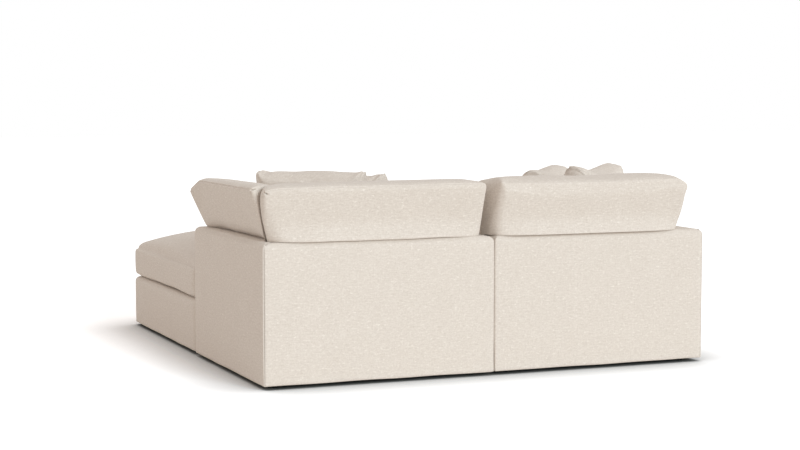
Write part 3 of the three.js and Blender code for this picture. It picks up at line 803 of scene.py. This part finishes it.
# near and far say how far a cushion's ends lie inside the module's sides. top is the height of its sewn
# upper edge, and fall how far its near end lies lower. The far end drops over the length called fold and
# is tucked in. rolls are of the two ends, and nod is how far the top falls inwards. The end that stands
# against another cushion has a dart, and a shoulder with a width and a depth that grow downwards. belly is
# what the rear face hangs over the wall, reach the height over which it does, and seam the height of the
# rear seam as a share. Each form is made along the chaise module's back, turned by angle onto its arm, and
# mirrored for the other module by side -1. mitre is the side of the corner's mitre that it keeps to, or 0.
looseCushions = [
    {
        "node": "chaise_back_cushion", "body": "chaise_back", "angle": 0, "mitre": 1, "side": 1,
        "near": 0.037, "far": -0.014, "top": 0.773, "fall": -0.003, "drop": 0.012, "fold": 0.050,
        "tuck": 0.100, "rolls": (0.034, 0.018), "nod": 0, "end": 1, "shoulder": (0.120, 0.080),
        "belly": 0.046, "reach": 0.045, "seam": 0.98,
    },
    {
        "node": "chaise_side_cushion", "body": "chaise_side", "angle": -90, "mitre": -1, "side": 1,
        "near": 0.026, "far": 0.042, "top": 0.773, "fall": 0.000, "drop": 0.055, "fold": 0.145,
        "tuck": 0.076, "rolls": (0.016, 0.036), "nod": 0.026, "end": -1, "shoulder": (0.110, 0.060),
        "belly": -0.036, "reach": 0.030, "seam": 0.93,
    },
    {
        "node": "end_back_cushion", "body": "end_back", "angle": 0, "mitre": 0, "side": -1,
        "near": -0.006, "far": 0.077, "top": 0.789, "fall": 0.009, "drop": 0.042, "fold": 0.058,
        "tuck": 0.060, "rolls": (0.020, 0.036), "nod": 0, "end": -1, "shoulder": (0.050, 0.030),
        "belly": 0.046, "reach": 0.045, "seam": 0.98,
    },
]


def looseForm(facts):
    length = outerX - innerX - facts["near"] - facts["far"]
    return {
        "size": (length, loose["thickness"], facts["top"] - loose["bottom"]),
        "roll": (facts["rolls"][1], loose["roll"], loose["roll"]), "nearRoll": facts["rolls"][0],
        "bulge": (loose["endFill"], loose["faceCrown"], loose["topCrown"], 0), "drawIn": loose["drawIn"],
        "lean": loose["lean"],
    }


# A loose cushion in its place: its near end a little lower, its far end folded over and tucked in
def looseShape(shares, form, facts):
    points = boxedForm(shares, form)
    half = np.array(form["size"]) / 2
    lengthShare, _, heightShare = np.maximum(0, (points + half) / (2 * half)).T
    farShare = np.maximum(0, points[:, 0] / half[0])
    past = points[:, 0] - half[0] + facts["fold"]
    folded = facts["drop"] * eased(past, loose["foldEase"]) / facts["fold"]
    fallen = facts["fall"] * (1 - lengthShare ** loose["steepness"])
    low, rear = 1 - heightShare, (1 + shares[:, 1]) / 2
    width = loose["shoulderTop"] + facts["shoulder"][0] * low
    rounded = np.clip(1 - (half[0] - facts["end"] * points[:, 0]) / width, 0, 1) ** 2
    level = points[:, 2] + loose["bottom"] + half[2] - wallTop + loose["bellyLevel"]
    belly = facts["belly"] * np.exp(-(level / facts["reach"]) ** 2) * (1 - shares[:, 0] ** edgePower)
    points[:, 1] += rear * (belly - facts["shoulder"][1] * low * rounded)
    points[:, 0] -= facts["tuck"] * (farShare * low) ** 2
    points[:, 2] -= heightShare * (folded + fallen + facts["nod"] * (1 - rear) ** 2)
    points += (facts["near"] + half[0], -loose["middle"], loose["bottom"] + half[2])
    moved = turned(points, 0, 1, facts["angle"]) + (outerX if facts["angle"] else innerX, 0, 0)
    return moved * (facts["side"], 1, 1)


# The top seam of the rear face, and a short dart where the cushion stands against another one
def looseSeams(form, facts):
    t = np.linspace(-loose["seamShare"], loose["seamShare"], loose["seamSteps"])
    ones = np.ones(len(t))
    seam = np.column_stack([t, ones, facts["seam"] * ones])
    dart = np.array(loose["dart"]) * (facts["end"], 1, 1)
    return [looseShape(shares, form, facts) for shares in (seam, dart)]


# Pushes points out of the walls and off the seat cushion of the chaise module, and keeps them on one side
# of the corner's mitre where mitreSide isn't 0
def freeSpace(points, mitreSide):
    far, edge = loose["wallReach"], cover["roll"]
    points = pressedBy(points, (-far, -wallThickness, -far), (far, far, wallTop), edge, 2 * fit)
    if mitreSide:
        points = pressedBy(points, (wellHigh[0], -far, -far), (outerX + far, far, wallTop), edge, 2 * fit)
        place = np.array([outerX + loose["mitreShift"], 0, 0])
        points = keptBeyond(points, place, (-mitreSide, mitreSide, 0), loose["mitreEase"])
    points[:, 2] = np.maximum(points[:, 2], seatTop(points) + fit)
    return points


def makeLoose(facts, seed):
    form = looseForm(facts)
    shares, faces = formSkin(form, loose["spacing"], facts["side"])
    flip = (facts["side"], 1, 1)
    points = freeSpace(looseShape(shares, form, facts) * flip, facts["mitre"]) * flip
    node, body = facts["node"], facts["body"]
    piece = newPiece(node + "_cloth", points, faces, cushionLinen, body, "cushion_linen", node)
    setPoints(piece, stuffed(piece, loose, seed))
    setPoints(piece, freeSpace(pointsOf(piece) * flip, facts["mitre"]) * flip)
    for path, kind in zip(looseSeams(form, facts), ("seam", "dart")):
        refine(piece, path, loose["seamReach"])
        pressSeam(piece, path, loose[kind + "Depth"], loose[kind + "Width"], loose[kind + "Rim"])


for seed, facts in enumerate(looseCushions, seeds["loose"]):
    makeLoose(facts, seed)
print("loose cushions made")


# Pillows: two in each outer corner, set across it. size is width, thickness and height. The middle of the
# upper edge is given from the arm's outer face and from the back, and chop is how deep it is sunk. lean,
# turn and tilt are in degrees. start is the thickness before filling, as a share.

pillow = {
    "edge": 0.014, "drawIn": 0.006, "lean": -12, "lines": 34, "fullness": 0.5, "cornerShare": 0.03,
    "cornerPower": 4, "start": 0.92, "cap": 0.014, "shrink": -0.03, "uneven": 0.004, "unevenSize": 0.1,
    "foldDepth": 0.004, "foldReach": 0.07, "foldCount": 9,
}
pillows = [
    {
        "node": "chaise_corner_pillow", "body": "chaise_corner", "size": (0.494, 0.140, 0.345),
        "fromArm": 0.438, "fromBack": 0.714, "top": 0.803, "chop": -0.005,
        "turn": -40, "tilt": 0.5, "side": 1,
    },
    {
        "node": "chaise_front_pillow", "body": "chaise_front", "size": (0.370, 0.130, 0.330),
        "fromArm": 0.638, "fromBack": 0.790, "top": 0.772, "chop": -0.004,
        "turn": -53, "tilt": 5, "side": 1,
    },
    {
        "node": "end_corner_pillow", "body": "end_corner", "size": (0.400, 0.165, 0.370),
        "fromArm": 0.286, "fromBack": 0.398, "top": 0.813, "chop": 0.008,
        "turn": -33.5, "tilt": -0.5, "side": -1,
    },
    {
        "node": "end_front_pillow", "body": "end_front", "size": (0.396, 0.165, 0.340),
        "fromArm": 0.385, "fromBack": 0.655, "top": 0.794, "chop": 0.002,
        "turn": -44.5, "tilt": -2, "side": -1,
    },
]


def pillowForm(shares, facts):
    a, b, c = shares.T
    width, thickness, height = facts["size"]
    fill = (crownShare(a) * crownShare(c)) ** pillow["fullness"]
    sunk = facts["chop"] * np.maximum(c, 0) ** 2 * (1 - a * a) ** 2
    corner = 1 - pillow["cornerShare"] * (a * c) ** pillow["cornerPower"]
    edge, full = pillow["edge"] / 2, thickness * pillow["start"] / 2
    return np.column_stack([
        a * corner * (width / 2 - pillow["drawIn"] * (1 - c * c) * a * a),
        b * (edge + (full - edge) * fill),
        c * corner * (height / 2 - pillow["drawIn"] * (1 - a * a) * c * c) - sunk,
    ])


# Small folds that fan out from the sewn corners, as heights over the surface
def cornerFolds(points, corners):
    middle = corners.mean(axis=0)
    height = np.zeros(len(points))
    for corner, nextCorner in zip(corners, np.roll(corners, -1, axis=0)):
        away = points - corner
        reach = np.linalg.norm(away, axis=1)
        inward = (middle - corner) / np.linalg.norm(middle - corner)
        edge = (nextCorner - corner) / np.linalg.norm(nextCorner - corner)
        across = edge - inward * (edge @ inward)
        across /= np.linalg.norm(across)
        angle = np.arctan2(away @ across, away @ inward)
        share = reach / pillow["foldReach"]
        fan = np.cos(pillow["foldCount"] * angle)
        height += fan * share * np.exp(1 - share * share) * pillow["foldDepth"] / 2
    return height


def makePillow(facts, seed):
    line = -np.cos(np.linspace(0, math.pi, pillow["lines"]))
    shares, faces = cubeSkin([line, np.array([-1.0, 1.0]), line], facts["side"])
    place = (outerX - facts["fromArm"], -facts["fromBack"], facts["top"])
    flip = (facts["side"], 1, 1)

    def inPlace(shares):
        hung = pillowForm(shares, facts) - (0, 0, facts["size"][2] / 2)
        stood = turned(turned(hung, 2, 0, facts["tilt"]), 1, 2, pillow["lean"])
        return (turned(stood, 0, 1, facts["turn"]) + place) * flip

    corners = inPlace(np.array([(-1, 0, -1), (1, 0, -1), (1, 0, 1), (-1, 0, 1)], float))
    node, body = facts["node"], facts["body"]
    piece = newPiece(node + "_cloth", inPlace(shares), faces, pillowLinen, body, "pillow_linen", node)
    points = stuffed(piece, pillow, seed, lambda points: cornerFolds(points, corners))
    setPoints(piece, freeSpace(points * flip, 0) * flip)


for seed, facts in enumerate(pillows, seeds["pillow"]):
    makePillow(facts, seed)
print("pillows made")


# Felt pads under the deck cloth, and the dust cloths under the modules

pad = {"roll": 0.006, "drawIn": 0.002, "spacing": 0.05}


def makePad(prefix):
    node = prefix + "_deck_pad"
    low, high = boxAt(node)
    form = {"size": high - low, "roll": (pad["roll"],) * 3, "bulge": (0, 0, 0, 0), "drawIn": pad["drawIn"]}
    shares, faces = formSkin(form, pad["spacing"])
    points = boxedForm(shares, form) + (low + high) / 2
    piece = newPiece(node + "_felt", points, faces, finishes["deck_felt"], "modules", "deck_felt", node)


dustCloth = {
    "spacing": 0.03, "footHole": 0.029, "holeSteps": 24, "holeRoom": 0.0075, "holeShare": 0.99,
    "weld": 1e-6, "sag": 0.0006, "uneven": 0.0003, "unevenSize": 0.06, "thickness": 0.0005,
}


# Triangles between the cloth's outline and the round holes for the feet
def holedSheet(low, high, holes):
    radius, spacing = dustCloth["footHole"], dustCloth["spacing"]
    across = [np.linspace(low[i], high[i], round((high[i] - low[i]) / spacing)) for i in range(2)]
    grid = np.stack(np.meshgrid(*across, indexing="ij"), axis=-1).reshape(-1, 2)
    away = np.min([np.linalg.norm(grid - hole, axis=1) for hole in holes], axis=0)
    points = [Vector(p) for p in grid[away > radius + dustCloth["holeRoom"]]]
    edges = []
    steps = dustCloth["holeSteps"]
    for hole in holes:
        start = len(points)
        for turn in np.arange(steps) * 2 * math.pi / steps:
            points.append(Vector((hole[0] + radius * math.cos(turn), hole[1] + radius * math.sin(turn))))
        edges += [(start + i, start + (i + 1) % steps) for i in range(steps)]
    flat, _, triangles, *_ = geometry.delaunay_2d_cdt(points, edges, [], 0, dustCloth["weld"])
    flat = np.array(flat)
    kept = []
    for triangle in triangles:
        middle = flat[list(triangle)].mean(axis=0)
        if min(np.linalg.norm(middle - hole) for hole in holes) > radius * dustCloth["holeShare"]:
            kept.append(tuple(triangle)[::-1])
    return flat, kept


def makeDustCloth(prefix, seed):
    node = prefix + "_dust_cloth"
    low, high = boxAt(node)
    feet = [name for name in frame["nodes"] if name.startswith(prefix + "_foot_")]
    holes = [np.array(sum(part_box(name), Vector()) / 2 - Vector(joint))[:2] for name in feet]
    flat, faces = holedSheet(low, high, holes)
    share = (2 * flat - low[:2] - high[:2]) / (high - low)[:2]
    dip = dustCloth["sag"] * np.sqrt(np.maximum(1 - share ** 2, 0).prod(axis=1))
    points = np.column_stack([flat, high[2] - dustCloth["thickness"] - dip])
    points[:, 2] -= np.abs(unevenness(points, dustCloth["unevenSize"], seed)) * dustCloth["uneven"]
    piece = newPiece(node + "_sheet", points, faces, finishes["dust_cloth"], "modules", "dust_cloth", node)
    applied(piece, "SOLIDIFY", thickness=dustCloth["thickness"], offset=-1.0)


for seed, prefix in enumerate(("chaise_seat", "end_seat", "ottoman"), seeds["dustCloth"]):
    makePad(prefix)
    makeDustCloth(prefix, seed)
print("inner pads and dust cloths made")


# Floor and light

studio = {
    "sky": (0.670, 0.618, 0.575, 1), "sun": 1.64, "sunColour": (0.80, 0.92, 0.97), "sunAngle": 26,
    "sunFrom": (-0.24, 0.92, 0.32), "floorSeen": (1.62, 1.69, 1.78, 1), "floorLit": (0.90, 0.86, 0.82, 1),
    # The colour of the floor's painted shade next to the sofa, and the reach, depth and samples of the
    # ambient occlusion that lays it
    "floorPaintedShade": (0.24, 0.24, 0.23, 1), "paintedShadeReach": 0.32, "paintedShadeDepth": 1.5, "paintedShadeSamples": 16,
    "white": (1, 1, 1, 1), "floorReach": 40.0,
}


# One for rays from the camera and for mirrored or refracted ones, which see the white studio
def seenRay(tree):
    paths = put(tree, "ShaderNodeLightPath").outputs
    direct = sums(tree, "MAXIMUM", paths["Is Camera Ray"], paths["Is Glossy Ray"])
    return sums(tree, "MAXIMUM", direct, paths["Is Transmission Ray"])


# A floor with painted shade near the sofa: the colour the camera sees darkens where ambient occlusion
# finds the sofa close, on top of the lamps' own shadow
def makeFloor():
    mesh = bpy.data.meshes.new("floor")
    reach = studio["floorReach"]
    corners = [(-reach, -reach, 0), (reach, -reach, 0), (reach, reach, 0), (-reach, reach, 0)]
    mesh.from_pydata(corners, [], [(0, 1, 2, 3)])
    floor = bpy.data.objects.new("floor", mesh)
    material = bpy.data.materials.new("studio floor")
    material.use_nodes = True
    tree = material.node_tree
    shader = tree.nodes["Principled BSDF"]
    shader.inputs["Roughness"].default_value = 1.0
    shader.inputs["Specular IOR Level"].default_value = 0.0
    reached = {"Distance": studio["paintedShadeReach"]}
    # Painted shade: ambient occlusion darkens the floor's seen colour towards a dark grey where the sofa
    # is close
    clear = put(tree, "ShaderNodeAmbientOcclusion", reached, samples=studio["paintedShadeSamples"]).outputs["AO"]
    share = sums(tree, "POWER", clear, studio["paintedShadeDepth"])
    seen = mixed(tree, share, studio["floorPaintedShade"], studio["floorSeen"])
    colour = mixed(tree, seenRay(tree), studio["floorLit"], seen)
    tree.links.new(colour, shader.inputs["Base Color"])
    mesh.materials.append(material)
    scene.collection.objects.link(floor)


def makeLight():
    lamp = bpy.data.objects.new("sun", bpy.data.lights.new("sun", "SUN"))
    lamp.data.energy = studio["sun"]
    lamp.data.color = studio["sunColour"]
    lamp.data.angle = math.radians(studio["sunAngle"])
    lamp.rotation_euler = Vector(studio["sunFrom"]).to_track_quat("Z", "Y").to_euler()
    scene.collection.objects.link(lamp)
    world = bpy.data.worlds.new("studio")
    scene.world = world
    world.use_nodes = True
    tree = world.node_tree
    colour = mixed(tree, seenRay(tree), studio["sky"], studio["white"])
    tree.links.new(colour, tree.nodes["Background"].inputs[0])


makeFloor()
makeLight()
scene.view_settings.view_transform = "Standard"
print("floor and light ready")
